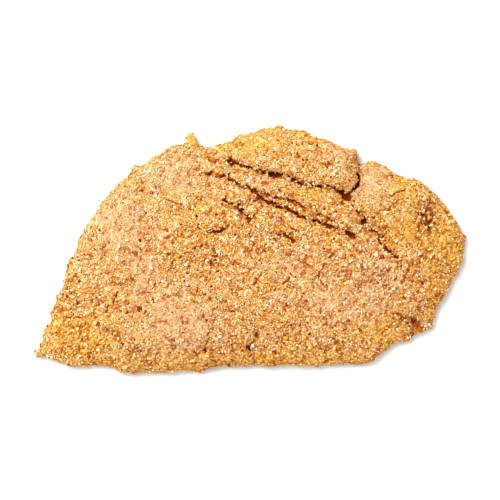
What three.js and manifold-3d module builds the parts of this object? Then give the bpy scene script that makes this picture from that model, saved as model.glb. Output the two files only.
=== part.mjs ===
// A crumbed schnitzel: one slice of flattened poultry breast in a fine breadcrumb coat, lying flat.
// Millimetres, +Z up. +X runs along the slice and +Y across it, towards the folded flap.
// The origin is under the middle of the bounding box, on the surface that the slice lies on.
// The slice is one closed solid: a rounded rim, a top that swells between its creases and cracks,
// a flat underside, and the larger clumps of crumbs fused to it.
import * as THREE from 'three';
import { ConvexHull } from 'three/addons/math/ConvexHull.js';
import { ImprovedNoise } from 'three/addons/math/ImprovedNoise.js';
import { mergeVertices } from 'three/addons/utils/BufferGeometryUtils.js';
import Module from 'manifold-3d';

// Driving dimensions
const LENGTH = 165; // tip to tip, clumps left out
const WIDTH = 95;
const EDGE_THICKNESS = 5.2; // where the rim turns over into the top
const BELLY_THICKNESS = 9.4; // in the middle of the slice
const BELLY_REACH = 20; // how far in from the outline the top goes on rising
const RIM_REACH = 4.2; // how far in from the outline the rim is rounded
const RIM_HEIGHT = 2.6; // height of the rim's widest line above the table
const RIM_WAVE = 0.8; // how far that line goes up and down
const RIM_WAVE_PITCH = 9;

// Coat: how uneven the crumbed surface and outline are. Each height is that of a wave of noise.
const OUTLINE_RAGGED = 1.1;
const OUTLINE_RAGGED_PITCH = 4.2;
const SHEET = { relief: 0.3, line: 3.7, mouth: 5.5, rim: 2.2 }; // which sheet of the noise each reads
const RELIEF = [
  { height: 0.9, pitch: 24 }, // the slow swells of the meat
  { height: 1.1, pitch: 6.2 }, // the knobbly coat
  { height: 0.8, pitch: 3.4 }, // its crags
];

// Mesh
const OUTLINE_STEP = 2.1;
const RIM_RINGS = 3; // rounded rings above the rim's widest line, and as many below it
const RIM_SHARE = 0.78; // the last upper ring is short of level, so that the top goes on curving
const RIM_LEAST = 0.8; // the least that the rounding reaches in, in the notch
const RIM_CLEAR = 0.93; // below 1, lets the rounding run a little towards the far side of a dent
const RIM_TRIM = 0.1; // how much is taken off at a time where it runs too far
const FINE_STEP = 1.55; // between points beside a crack
const COARSE_STEP = 2.15; // between points on the open top
const FINE_REACH = 7; // how far from a crack the points are fine
const UNDERSIDE_STEP = 6.5;
const CRACK_STEP = 1.5; // along a crack
const LEAST_STEP = 0.55; // no two points of the cracks are nearer
const LOOP_GAP = 0.75; // scattered points stay this share of their spacing clear of a loop
const TRIES_PER_POINT = 20; // draws for each point that a sheet could hold
const SAME_POINT = 1e-4;

// The outline, anticlockwise from the pointed tip. The notch beside the flap is its one deep dent.
const OUTLINE = [
  [-82.1, -40.2], [-69.7, -45.5], [-56.9, -45.9], [-48.3, -48.1], [-35.6, -48.3], [-24.2, -47.6],
  [-10, -45.9], [29.2, -45.1], [46.2, -43.9], [54.7, -38.4], [64, -33.8], [70, -29.9],
  [73.2, -22], [78.9, -12.8], [82.5, -3.6], [82.5, 5], [78.9, 11.7], [72.5, 20.6],
  [66.1, 26.3], [57.6, 28.4], [51.2, 33.1], [45.5, 34.1], [42.3, 32.2], [40.9, 37.3],
  [34.1, 40.2], [22.8, 44.1], [11.4, 46.4], [-1.4, 44.8], [-13.5, 39.8], [-26.3, 40.2],
  [-35.6, 36.9], [-48.3, 28.1], [-59.7, 14.6], [-68.6, -1.4], [-78.6, -29.2],
];

// The flap that is folded over: its free edge, from where it leaves the slice to the notch.
const FLAP_FRONT = [
  [-12.8, 34.8], [-0.6, 31.6], [6.1, 29], [14.1, 27.6], [20.7, 25], [32.7, 23], [36.5, 20],
];
const FLAP_END = [[36.5, 20], [41.4, 25], [41.1, 29.6], [43, 36]];
const FLAP_RISE = 2.3; // how far it stands above what it lies on
const FLAP_ROUNDING = 4.5; // from its free edge to its full height
const FLAP_FADE = [-18, 16]; // along X, from level with the slice to its full height

// Soft rises and hollows of the top: centre, reach along X and Y, height.
const SWELLS = [
  { at: [10, 22], reach: [24, 5], height: 0.5 }, // the band between flap and belly
  { at: [60, 13], reach: [15, 13], height: 0.8 }, // the lobe beside the flap
  { at: [-14, -14], reach: [36, 20], height: 0.9 }, // the belly
  { at: [-68, -34], reach: [14, 12], height: -1.6 }, // the thin tip
  { at: [57, -36], reach: [14, 7], height: -0.9 }, // the thin end opposite
  { at: [48, -13], reach: [15, 9], height: -0.8 }, // the hollow beside the lobe
];

// Cracks and creases of the coat, each along its own line. mouth and depth are the crack's,
// reach and dip the soft valley's round it.
const CRACKS = [
  { line: FLAP_FRONT, mouth: 2, depth: 3.2, reach: 4, dip: 0.9 },
  { line: FLAP_END, mouth: 2.3, depth: 3.2, reach: 4, dip: 1.3 },
  { // the long split across the slice
    line: [
      [-22.4, 29.8], [-9, 27.2], [-4, 24.5], [0.7, 22.4], [4, 19.2], [13.2, 15.4], [18.5, 12.9],
      [30.5, 8.6], [44.3, 3],
    ],
    mouth: 1.9, depth: 3, reach: 3.6, dip: 0.8,
  },
  { // its upper strand
    line: [[2.8, 21.4], [11.4, 19.4], [16.7, 18.1], [20.5, 16.2], [25.5, 12.6]],
    mouth: 1.4, depth: 1.9, reach: 2.4, dip: 0.5,
  },
  { // the slanting crack beside it, towards the belly
    line: [[-16.5, 24], [-9.1, 18.1], [-4.6, 14.9], [-0.4, 11.2]],
    mouth: 1.5, depth: 2, reach: 2.6, dip: 0.5,
  },
  { // a short link between the two
    line: [[-6.4, 16.2], [-2, 17.7], [3, 18.4]],
    mouth: 1.2, depth: 1.3, reach: 2, dip: 0.3,
  },
  { // a hooked crack on the belly
    line: [[-22.2, 15.4], [-20.4, 9.8], [-17.6, 5.9], [-14.4, 6.3], [-6, 8.7]],
    mouth: 1.4, depth: 1.7, reach: 2.4, dip: 0.5,
  },
  { // the rough valley between belly and lobe, in two stretches
    line: [[36.5, 20], [40.7, 15], [44.1, 10.3], [46.8, 7], [52.3, 4.6]],
    mouth: 1.7, depth: 2, reach: 4.2, dip: 1.1,
  },
  {
    line: [[46.6, 5.4], [51.4, 1.1], [55, -2.9], [58.4, -6.6]],
    mouth: 1.5, depth: 1.8, reach: 3.6, dip: 0.8,
  },
  { // short cracks towards the near edge
    line: [[2.3, -32.2], [0.7, -36], [-0.9, -39.8]],
    mouth: 1.3, depth: 1.6, reach: 2.2, dip: 0.4,
  },
  {
    line: [[-14.4, -26], [-16.2, -34], [-17.5, -40.4]],
    mouth: 1.2, depth: 1.2, reach: 2.2, dip: 0.35,
  },
  { // the faint ridge line near the left edge
    line: [[-43.2, -3.2], [-45.2, -8], [-46.2, -15.4]],
    mouth: 1.2, depth: 1.1, reach: 2.6, dip: 0.4,
  },
  { // a slit on the belly, and one below it
    line: [[12.2, 5.6], [18.2, 1.8]],
    mouth: 1.3, depth: 1.4, reach: 2.2, dip: 0.35,
  },
  {
    line: [[31.8, -1.6], [28.6, -5.2]],
    mouth: 1.3, depth: 1.3, reach: 2.2, dip: 0.35,
  },
  { // a pit in the middle of the belly
    line: [[-8, -23.9], [-5.2, -24.8]],
    mouth: 1.7, depth: 1.4, reach: 1.8, dip: 0.3,
  },
  { // bare pits on the lobe
    line: [[65.6, 14.4], [68.8, 8.6]],
    mouth: 1.8, depth: 1.4, reach: 3, dip: 0.6,
  },
  { // bare pits near the thin end
    line: [[66, -25.4], [60, -32.6]],
    mouth: 1.8, depth: 1.5, reach: 3, dip: 0.7,
  },
];
const CRACK_WANDER = 0.7; // how far a crack strays to either side of its line
const CRACK_WANDER_PITCH = 2.3;
const CRACK_TAPER = 0.6; // below 1, a crack stays open almost to its ends
const CRACK_LEAST_MOUTH = 0.7;
const CRACK_UNEVEN = 0.5; // how much a crack's mouth widens and narrows

// Clumps of crumbs. The named ones stand out of the rim, and the rest are strewn by a rule.
const RIM_CLUMPS = [
  { at: [-82.4, -40.6], size: 2.3 },
  { at: [-22.8, 40.8], size: 2.1 },
  { at: [-23.6, 43.2], size: 1.7 },
  { at: [11.2, 46.2], size: 1.8 },
  { at: [21, 44.3], size: 1.4 },
  { at: [60.6, -34.8], size: 1.9 },
  { at: [69.4, -29.8], size: 1.7 },
];
const STREWN_RIM_CLUMPS = 28;
const STREWN_TOP_CLUMPS = 22;
const CLUMP_SIZE = [1.1, 2]; // radii of the strewn ones
const CLUMP_STRETCH = [0.8, 1.3]; // along X and Y
const CLUMP_FLATNESS = [0.4, 0.7]; // along Z
const CLUMP_LUMPINESS = 0.5;
const CLUMP_INSET = [0.2, 1.6]; // from the outline to the middle of a clump on the rim
const CLUMP_RIM_HEIGHT = [2.2, 4.2];
const CLUMP_GAP = 7.5; // between clumps on top
const CLUMP_SUNK = 0.3; // how far the middle of a clump on top is sunk into it
const CLUMP_FLOOR = 0.25; // no clump reaches lower

const seeded = THREE.MathUtils.seededRandom;
seeded(20417);
const draw = (low, high) => low + (high - low) * seeded();

const grain = new ImprovedNoise();
const noise = (x, y, pitch, sheet) => grain.noise(x / pitch, y / pitch, sheet);
const clamp01 = (x) => Math.min(1, Math.max(0, x));
const bell = (x) => Math.exp(-x * x);
const rounded = (x) => Math.sqrt(1 - (1 - clamp01(x)) ** 2); // a quarter circle, from 0 to 1

// ---- Lines in the plan ----

// Evenly spaced points along a smooth line through the given ones.
function smoothLine(points, step, closed) {
  const curve = new THREE.CatmullRomCurve3(
    points.map(([x, y]) => new THREE.Vector3(x, y, 0)), closed, 'centripetal');
  const count = Math.max(3, Math.round(curve.getLength() / step));
  const spaced = curve.getSpacedPoints(count).map((p) => new THREE.Vector2(p.x, p.y));
  if (closed) spaced.pop(); // the first point again
  return spaced;
}

// The left-hand normal at each point of a line.
function normals(line, closed) {
  const last = line.length - 1;
  return line.map((_, i) => {
    const before = line[i > 0 ? i - 1 : closed ? last : 0];
    const after = line[i < last ? i + 1 : closed ? 0 : last];
    const along = after.clone().sub(before).normalize();
    return new THREE.Vector2(-along.y, along.x);
  });
}

function distanceToLine(x, y, line, closed) {
  let nearest = Infinity;
  const count = closed ? line.length : line.length - 1;
  for (let i = 0; i < count; i++) {
    const a = line[i];
    const b = line[(i + 1) % line.length];
    const dx = b.x - a.x;
    const dy = b.y - a.y;
    const t = clamp01(((x - a.x) * dx + (y - a.y) * dy) / (dx * dx + dy * dy));
    nearest = Math.min(nearest, Math.hypot(x - a.x - t * dx, y - a.y - t * dy));
  }
  return nearest;
}

function insideLoop(x, y, loop) {
  let inside = false;
  for (let i = 0, j = loop.length - 1; i < loop.length; j = i++) {
    const a = loop[i];
    const b = loop[j];
    if (a.y > y !== b.y > y && x < a.x + ((b.x - a.x) * (y - a.y)) / (b.y - a.y)) inside = !inside;
  }
  return inside;
}

// A line moved to either side by noise.
function strayed(line, closed, amount, pitch) {
  const side = normals(line, closed);
  return line.map((p, i) => p.clone().addScaledVector(side[i], amount * noise(p.x, p.y, pitch, SHEET.line)));
}

// The outline with its small raggedness, scaled to the driving length and width about the origin.
function raggedOutline() {
  const smooth = smoothLine(OUTLINE, OUTLINE_STEP, true);
  const ragged = strayed(smooth, true, OUTLINE_RAGGED, OUTLINE_RAGGED_PITCH);
  const size = new THREE.Box2().setFromPoints(ragged).getSize(new THREE.Vector2());
  return ragged.map((p) => p.multiply(new THREE.Vector2(LENGTH / size.x, WIDTH / size.y)));
}

const outline = raggedOutline();
const cracks = CRACKS.map(({ line, ...sizes }) => {
  const smooth = smoothLine(line, CRACK_STEP, false);
  return { ...sizes, points: strayed(smooth, false, CRACK_WANDER, CRACK_WANDER_PITCH) };
});

// ---- Heights ----

const depthInside = (x, y) => distanceToLine(x, y, outline, true);

const flapEdge = [...cracks[0].points, ...cracks[1].points];
const beyondFlap = [[FLAP_END[3][0], WIDTH], [FLAP_FRONT[0][0], WIDTH]];
const flapLoop = [...flapEdge, ...beyondFlap.map(([x, y]) => new THREE.Vector2(x, y))];

function flapRise(x, y) {
  if (!insideLoop(x, y, flapLoop)) return 0;
  const faded = clamp01((x - FLAP_FADE[0]) / (FLAP_FADE[1] - FLAP_FADE[0]));
  return FLAP_RISE * faded * rounded(distanceToLine(x, y, flapEdge) / FLAP_ROUNDING);
}

// Top of the coat without the cracks themselves.
function topHeight(x, y) {
  const inward = clamp01(depthInside(x, y) / BELLY_REACH);
  let z = EDGE_THICKNESS + (BELLY_THICKNESS - EDGE_THICKNESS) * Math.sin((inward * Math.PI) / 2);
  for (const { at, reach, height } of SWELLS) {
    z += height * bell((x - at[0]) / reach[0]) * bell((y - at[1]) / reach[1]);
  }
  for (const { points, reach, dip } of cracks) z -= dip * bell(distanceToLine(x, y, points) / reach);
  RELIEF.forEach(({ height, pitch }, sheet) => {
    z += height * noise(x, y, pitch, sheet + SHEET.relief);
  });
  return z + flapRise(x, y);
}

// ---- Sheets of triangles ----

// Delaunay triangles of points in the plan, anticlockwise: the underside of their hull once they
// are lifted onto a bowl.
function delaunay(points) {
  const lifted = points.map((p, index) =>
    Object.assign(new THREE.Vector3(p.x, p.y, (p.x * p.x + p.y * p.y) / LENGTH), { index }));
  const triangles = [];
  for (const face of new ConvexHull().setFromPoints(lifted).faces) {
    if (face.normal.z >= 0) continue;
    const [a, b, c] = [face.edge, face.edge.next, face.edge.next.next].map((e) => e.head().point.index);
    triangles.push([a, c, b]); // the bowl's underside runs clockwise seen from above
  }
  return triangles;
}

// Fills a loop with scattered points, no two nearer than spacing(x, y), and triangulates it.
function filledLoop(loop, fixed, spacing, least) {
  const points = [...loop, ...fixed];
  const box = new THREE.Box2().setFromPoints(loop);
  const size = box.getSize(new THREE.Vector2());
  const tries = (TRIES_PER_POINT * size.x * size.y) / (least * least);
  for (let i = 0; i < tries; i++) {
    const x = draw(box.min.x, box.max.x);
    const y = draw(box.min.y, box.max.y);
    const gap = spacing(x, y);
    if (!insideLoop(x, y, loop) || distanceToLine(x, y, loop, true) < gap * LOOP_GAP) continue;
    if (points.every((p) => Math.abs(p.x - x) > gap || Math.hypot(p.x - x, p.y - y) > gap)) {
      points.push(new THREE.Vector2(x, y));
    }
  }
  const triangles = delaunay(points).filter((corners) => {
    const x = corners.reduce((sum, v) => sum + points[v].x / 3, 0);
    const y = corners.reduce((sum, v) => sum + points[v].y / 3, 0);
    return insideLoop(x, y, loop);
  });
  return { points, triangles };
}

// How far in the rim's rounding can reach at each outline point before it meets the far side.
function rimReach(inward) {
  const free = outline.map((p, i) => {
    let reach = RIM_REACH;
    while (reach > RIM_LEAST) {
      const at = p.clone().addScaledVector(inward[i], reach);
      if (depthInside(at.x, at.y) > RIM_CLEAR * reach) break;
      reach -= RIM_TRIM;
    }
    return reach;
  });
  const count = free.length;
  return free.map((reach, i) =>
    (2 * reach + free[(i + 1) % count] + free[(i + count - 1) % count]) / 4);
}

// ---- The slice ----

// Each crack is a line of points at its floor between two lines of points at its lips.
function crackPoints(loop) {
  const found = [];
  for (const { points, mouth, depth } of cracks) {
    const side = normals(points, false);
    points.forEach((p, i) => {
      const taper = Math.sin((Math.PI * (i + 0.5)) / points.length) ** CRACK_TAPER;
      const uneven = 1 + CRACK_UNEVEN * noise(p.x, p.y, CRACK_WANDER_PITCH, SHEET.mouth);
      const half = Math.max(CRACK_LEAST_MOUTH, mouth * taper * uneven) / 2;
      const spots = [[0, depth * taper], [half, 0], [-half, 0]];
      for (const [offset, sunk] of spots) {
        const at = p.clone().addScaledVector(side[i], offset);
        if (!insideLoop(at.x, at.y, loop)) continue;
        if (distanceToLine(at.x, at.y, loop, true) < LEAST_STEP) continue;
        if (found.some((q) => q.distanceTo(at) < LEAST_STEP)) continue; // where two cracks meet
        found.push(Object.assign(at, { sunk }));
      }
    });
  }
  return found;
}

function sliceGeometry() {
  const inward = normals(outline, true);
  const reach = rimReach(inward);
  const places = [];
  const index = [];
  const count = outline.length;

  // A ring of the rim: share 0 is its widest line and share 1 where it turns into top or underside.
  const ringPoint = (i, share) =>
    outline[i].clone().addScaledVector(inward[i], reach[i] * (1 - Math.cos((share * Math.PI) / 2)));
  const addRing = (share, height) => {
    outline.forEach((_, i) => {
      const p = ringPoint(i, share);
      places.push(p.x, p.y, height(p, Math.sin((share * Math.PI) / 2)));
    });
    return places.length / 3 - count;
  };
  const join = (lower, upper) => {
    for (let i = 0; i < count; i++) {
      const next = (i + 1) % count;
      index.push(lower + i, lower + next, upper + next, lower + i, upper + next, upper + i);
    }
  };

  // The rim, from its widest line up to the top and down to the underside.
  const widestAt = (p) => RIM_HEIGHT + RIM_WAVE * noise(p.x, p.y, RIM_WAVE_PITCH, SHEET.rim);
  const onRim = (p, rise) => widestAt(p) + (topHeight(p.x, p.y) - widestAt(p)) * rise;
  const underRim = (p, fall) => widestAt(p) * (1 - fall);
  const widest = addRing(0, widestAt);
  let upper = widest;
  let lower = widest;
  for (let ring = 1; ring <= RIM_RINGS; ring++) {
    const above = addRing((RIM_SHARE * ring) / RIM_RINGS, onRim);
    join(upper, above);
    upper = above;
    const below = addRing(ring / RIM_RINGS, underRim);
    join(below, lower);
    lower = below;
  }

  // The top inside the rim, with its cracks.
  const topLoop = outline.map((_, i) => ringPoint(i, RIM_SHARE));
  const nearCrack = (x, y) => Math.min(...cracks.map(({ points }) => distanceToLine(x, y, points)));
  const topSpacing = (x, y) =>
    FINE_STEP + (COARSE_STEP - FINE_STEP) * clamp01(nearCrack(x, y) / FINE_REACH);
  const top = filledLoop(topLoop, crackPoints(topLoop), topSpacing, FINE_STEP);
  const topStart = places.length / 3 - count;
  top.points.slice(count).forEach((p) => {
    const rise = rounded(depthInside(p.x, p.y) / RIM_REACH);
    places.push(p.x, p.y, onRim(p, rise) - (p.sunk ?? 0));
  });
  top.triangles.forEach((t) => index.push(...t.map((v) => (v < count ? upper + v : topStart + v))));

  // The flat underside, which the slice rests on.
  const flatLoop = outline.map((_, i) => ringPoint(i, 1));
  const flat = filledLoop(flatLoop, [], () => UNDERSIDE_STEP, UNDERSIDE_STEP);
  const flatStart = places.length / 3 - count;
  flat.points.slice(count).forEach((p) => places.push(p.x, p.y, 0));
  flat.triangles.forEach(([a, b, c]) =>
    index.push(...[a, c, b].map((v) => (v < count ? lower + v : flatStart + v))));

  const geometry = new THREE.BufferGeometry();
  geometry.setAttribute('position', new THREE.Float32BufferAttribute(places, 3));
  geometry.setIndex(index);
  return geometry;
}

// An uneven, flattened lump of stuck crumbs.
function clumpGeometry(x, y, z, size) {
  const geometry = new THREE.IcosahedronGeometry(size, 0);
  const place = geometry.getAttribute('position');
  const turn = new THREE.Euler(draw(0, Math.PI), draw(0, Math.PI), draw(0, Math.PI));
  const stretch = new THREE.Vector3(
    draw(...CLUMP_STRETCH), draw(...CLUMP_STRETCH), draw(...CLUMP_FLATNESS));
  const p = new THREE.Vector3();
  for (let i = 0; i < place.count; i++) {
    p.fromBufferAttribute(place, i);
    const bump = 1 + CLUMP_LUMPINESS * noise(p.x + x, p.y + y, size, p.z);
    p.multiplyScalar(bump).applyEuler(turn).multiply(stretch);
    place.setXYZ(i, p.x + x, p.y + y, Math.max(CLUMP_FLOOR, p.z + z));
  }
  return geometry;
}

// Where the clumps lie: [x, y, z, size].
function clumpPlaces() {
  const inward = normals(outline, true);
  const named = RIM_CLUMPS.map(({ at, size }) => [...at, RIM_HEIGHT, size]);
  const onRim = Array.from({ length: STREWN_RIM_CLUMPS }, (_, k) => {
    const i = Math.floor(((k + seeded()) * outline.length) / STREWN_RIM_CLUMPS);
    const p = outline[i].clone().addScaledVector(inward[i], draw(...CLUMP_INSET));
    return [p.x, p.y, draw(...CLUMP_RIM_HEIGHT), draw(...CLUMP_SIZE)];
  });
  const onTop = [];
  while (onTop.length < STREWN_TOP_CLUMPS) {
    const x = draw(-LENGTH / 2, LENGTH / 2);
    const y = draw(-WIDTH / 2, WIDTH / 2);
    const apart = onTop.every((q) => Math.hypot(q[0] - x, q[1] - y) > CLUMP_GAP);
    if (apart && insideLoop(x, y, outline) && depthInside(x, y) > RIM_REACH) {
      onTop.push([x, y, topHeight(x, y) - CLUMP_SUNK, draw(...CLUMP_SIZE)]);
    }
  }
  return [...named, ...onRim, ...onTop];
}

// ---- Joining ----

const wasm = await Module();
wasm.setup();

function solidOf(geometry) {
  geometry.deleteAttribute('normal');
  geometry.deleteAttribute('uv');
  const merged = mergeVertices(geometry, SAME_POINT);
  return new wasm.Manifold(new wasm.Mesh({
    numProp: 3,
    vertProperties: merged.getAttribute('position').array,
    triVerts: new Uint32Array(merged.index.array),
  }));
}

function geometryOf(solid) {
  const mesh = solid.getMesh();
  const geometry = new THREE.BufferGeometry();
  geometry.setAttribute('position', new THREE.BufferAttribute(mesh.vertProperties, 3));
  geometry.setIndex(new THREE.BufferAttribute(mesh.triVerts, 1));
  geometry.computeVertexNormals();
  return geometry;
}

const slice = solidOf(sliceGeometry());
const fused = clumpPlaces().reduce((solid, place) => solid.add(solidOf(clumpGeometry(...place))), slice);

const coat = new THREE.MeshStandardMaterial({ color: 0xe6ad68, roughness: 0.92, metalness: 0 });
const schnitzel = new THREE.Mesh(geometryOf(fused), coat);
schnitzel.name = 'schnitzel';

// The clumps reach past the outline, so the finished slice is centred on the origin once more.
schnitzel.geometry.computeBoundingBox();
const middle = schnitzel.geometry.boundingBox.getCenter(new THREE.Vector3());
schnitzel.position.set(-middle.x, -middle.y, 0);

const part = new THREE.Group();
part.name = 'schnitzel_part';
part.add(schnitzel);
export default part;
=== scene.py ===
"""Dresses a crumbed schnitzel: its crumb coat, the crumbs and flakes that stand on it, and a pale stage.

The slice itself, with its flap, cracks and clumps, is the solid that the frame holds. The coat follows it
at a fine pitch, and every crumb is a small closed form of its own, sunk into the coat where it lies. The
mesh code works in metres, as the frame does. PATCHES and FISSURES give their places in millimetres.
"""

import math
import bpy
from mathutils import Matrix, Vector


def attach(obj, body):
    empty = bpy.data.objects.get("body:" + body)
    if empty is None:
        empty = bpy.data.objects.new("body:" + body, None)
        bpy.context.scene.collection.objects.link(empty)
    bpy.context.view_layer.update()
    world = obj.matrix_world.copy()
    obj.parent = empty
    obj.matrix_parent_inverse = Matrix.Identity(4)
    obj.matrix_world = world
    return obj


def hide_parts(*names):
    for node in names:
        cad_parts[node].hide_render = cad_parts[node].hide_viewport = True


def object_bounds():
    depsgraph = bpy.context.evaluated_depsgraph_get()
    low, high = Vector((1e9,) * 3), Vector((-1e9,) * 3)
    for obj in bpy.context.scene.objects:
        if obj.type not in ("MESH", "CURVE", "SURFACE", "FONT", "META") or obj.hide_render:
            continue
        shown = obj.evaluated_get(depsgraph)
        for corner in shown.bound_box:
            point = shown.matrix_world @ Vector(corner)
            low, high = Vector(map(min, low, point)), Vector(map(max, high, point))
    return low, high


bl_info = {
    "name": "Crumbed schnitzel",
    "version": (1, 0, 0),
    "blender": (4, 5, 0),
    "location": "3D View > Sidebar > Schnitzel",
    "description": "Makes the crumb coat, the crumbs and the stage of a crumbed schnitzel",
    "category": "Object",
}

import bmesh
import bpy
import numpy as np
from bpy.props import FloatProperty, FloatVectorProperty, PointerProperty
from mathutils import Vector, kdtree, noise
from mathutils.bvhtree import BVHTree

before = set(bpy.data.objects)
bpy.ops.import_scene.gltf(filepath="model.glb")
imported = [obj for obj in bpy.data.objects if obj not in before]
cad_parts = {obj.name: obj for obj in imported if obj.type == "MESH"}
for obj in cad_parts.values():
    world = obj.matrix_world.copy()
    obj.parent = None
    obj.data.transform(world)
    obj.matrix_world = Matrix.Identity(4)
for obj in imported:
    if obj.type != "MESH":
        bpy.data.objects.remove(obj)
CAD_LOW, CAD_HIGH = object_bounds()

NODE = "schnitzel"
BODY = "root"
MM = 0.001

# Patches of the coat by kind. Each has its middle, its reach along X and Y, and its strength.
PATCHES = {
    "thin": (  # the meat shows through
        ((-28, -28), (17, 12), 0.9),
        ((-50, 8), (13, 13), 0.9),
        ((-28, 27), (15, 9), 0.7),
        ((-41, -12), (8, 12), 0.6),
        ((50, -11), (11, 9), 0.9),
        ((32, 39), (9, 5), 0.6),
        ((48, 25), (7, 6), 0.8),
        ((37, -20), (15, 8), 0.8),
        ((16, -8), (12, 8), 0.5),
        ((40.5, 21.5), (4, 3), 1.0),
        ((48, -22), (5, 5), 1.0),
        ((4, 27), (9, 3), 0.5),
    ),
    "golden": (  # the crust is thick
        ((-66, -33), (17, 9), 0.9),
        ((53, -32.5), (10, 6), 1.0),
        ((74, 0), (9, 20), 1.0),
        ((2, 41), (20, 4), 0.7),
        ((27, 21), (10, 4), 0.7),
        ((61, 8), (10, 8), 0.8),
        ((60, 23), (9, 6), 0.7),
        ((0, -44), (70, 5), 0.6),
        ((-20, 14), (12, 8), 0.4),
    ),
    "bare": (  # the crust has come off
        ((68, 12.5), (5.2, 7.2), 1.0),
        ((62.5, -29), (5, 4.5), 0.9),
        ((46, -24), (4, 3.5), 0.45),
        ((46, 9), (5, 7), 0.4),
    ),
    "coarse": (  # the crumbs are large
        ((52, -10), (16, 14), 1.0),
        ((-64, -32), (18, 12), 0.9),
        ((72, 0), (12, 26), 0.8),
        ((0, -42), (75, 8), 0.6),
        ((48, 8), (9, 10), 0.7),
        ((-10, 2), (22, 10), 0.35),
    ),
    "clumped": (  # crumbs gather in a clump
        ((-22.5, 43), (2.5, 2.5), 1.0),
        ((11.5, 48), (3, 1.5), 0.7),
        ((20, 45), (2, 1.5), 0.6),
    ),
    "bridged": (  # crust closes over a crack
        ((-14, 22), (5, 4), 1.0),
        ((1.5, 30), (3, 2.5), 0.8),
        ((12.7, 26.8), (2.4, 2), 0.8),
        ((22, 25.2), (1.8, 2), 0.8),
        ((30, 23.8), (2, 2), 0.8),
        ((46, 10), (4, 4), 0.7),
        ((-44.6, -6.5), (3, 4), 0.7),
        ((42.6, 13.4), (2, 2.2), 0.9),
        ((-5, 32.6), (5, 3), 0.4),
        ((7.5, 29.2), (4, 3), 0.4),
        ((-21.5, 12.5), (2.5, 3), 0.5),
    ),
    "torn": (  # the crust is broken into pits
        ((43.5, 13.5), (3.6, 4.2), 1.0),
        ((47, 9.5), (4.2, 4.2), 1.0),
        ((51, 5), (4, 4.6), 0.9),
        ((51, -9), (14, 11), 0.7),
        ((40, -30), (7, 5), 0.6),
        ((68, 2), (7, 18), 0.2),
        ((58, -26), (6, 5), 0.7),
        ((-62, -38), (16, 5), 0.5),
        ((-12, -40), (34, 6), 0.4),
        ((18, -14), (14, 8), 0.2),
        ((8, 26), (14, 4), 0.5),
        ((2, 2), (12, 8), 0.2),
    ),
}

# Fissures of the crust that are too fine for the solid, each along its own line. Each is cut as a shallow
# groove and painted dark as the shade in a crack.
FISSURES = (
    ((-34, 20.4), (-32, 19.2), (-27, 17.8), (-22.4, 15.4)),
    ((-31, -6.8), (-29.5, -4.3), (-25.6, -2.1)),
    ((-25.6, -2.1), (-21, 1), (-19.5, 4.6)),
    ((-20, -14.6), (-21.2, -19.4)),
    ((-25.2, -35.2), (-27.6, -40)),
    ((-51, -16.4), (-52.4, -20)),
    ((-14.8, -26), (-12.4, -20.6), (-13, -17)),
    ((-46.2, -15.4), (-47.6, -19.6)),
    ((-16.4, 36.2), (-12.8, 34.8)),
    ((20.4, 12.2), (27, 13.6), (33.4, 10.4)),
    ((5.4, 6.8), (9, 6.6), (12.2, 5.6)),
    ((28.6, -5.2), (26.4, -9.6), (27.4, -12.6)),
    ((12, -13.6), (15.4, -10.4)),
    ((-0.4, 11.2), (3.6, 15.6)),
    ((58.4, -6.6), (62.2, -12)),
    ((40.7, 15.8), (45, 11.4), (49.5, 5.4), (53, 0.6)),
    ((5.6, 20.8), (10.5, 19.8), (14.5, 18.9), (18.5, 17.4)),
    ((-64, -25.8), (-70, -26.6), (-75.4, -25.4)),
    ((-60.4, -39.4), (-56, -41.6)),
    ((-36, -12), (-38.4, -16.6), (-37, -20)),
    ((4, -9), (1.6, -13.4)),
    ((38.6, -27.6), (43.4, -32)),
    ((-58, 2), (-54.6, 5.4)),
    ((54.4, 20.6), (60, 23.6)),
)

# Noises of the coat: the pitch of the waves, and the sheet that tells one noise from another.
CLUMP_SHEET = 1
CRAG_SHEET = 3
UNDERSIDE_HOLLOWS = (2.3 * MM, 4)
CRACK_BREAKS = (2.2 * MM, 9)
CRACK_WIDTHS = (4.5 * MM, 12)
FISSURE_BREAKS = (2.4 * MM, 10)
FISSURE_WIDTHS = (3.5 * MM, 12)
BARE_REMAINS = (1.4 * MM, 11)
PITTING = (1.1 * MM, 13)
RAGGED_EDGES = ((0.9, 5 * MM, 5), (0.5, 1.8 * MM, 6))  # each with its strength first
JAGS = ((0.8 * MM, 1.7 * MM, 7), (0.35 * MM, 0.6 * MM, 14))  # each with how far it moves points first


def colour(red, green, blue):
    """A linear colour from the 0 to 255 numbers of a screen colour."""
    parts = np.array([red, green, blue]) / 255
    linear = np.where(parts <= 0.04045, parts / 12.92, ((parts + 0.055) / 1.055) ** 2.4)
    return tuple(float(part) for part in linear)


def colour_property(name, description, red, green, blue):
    return FloatVectorProperty(
        name=name, description=description, default=colour(red, green, blue), subtype="COLOR", min=0, max=1
    )


def length_property(name, description, millimetres):
    return FloatProperty(
        name=name, description=description, default=millimetres * MM, min=0, unit="LENGTH", precision=5
    )


# ---- What a user can change ----


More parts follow.
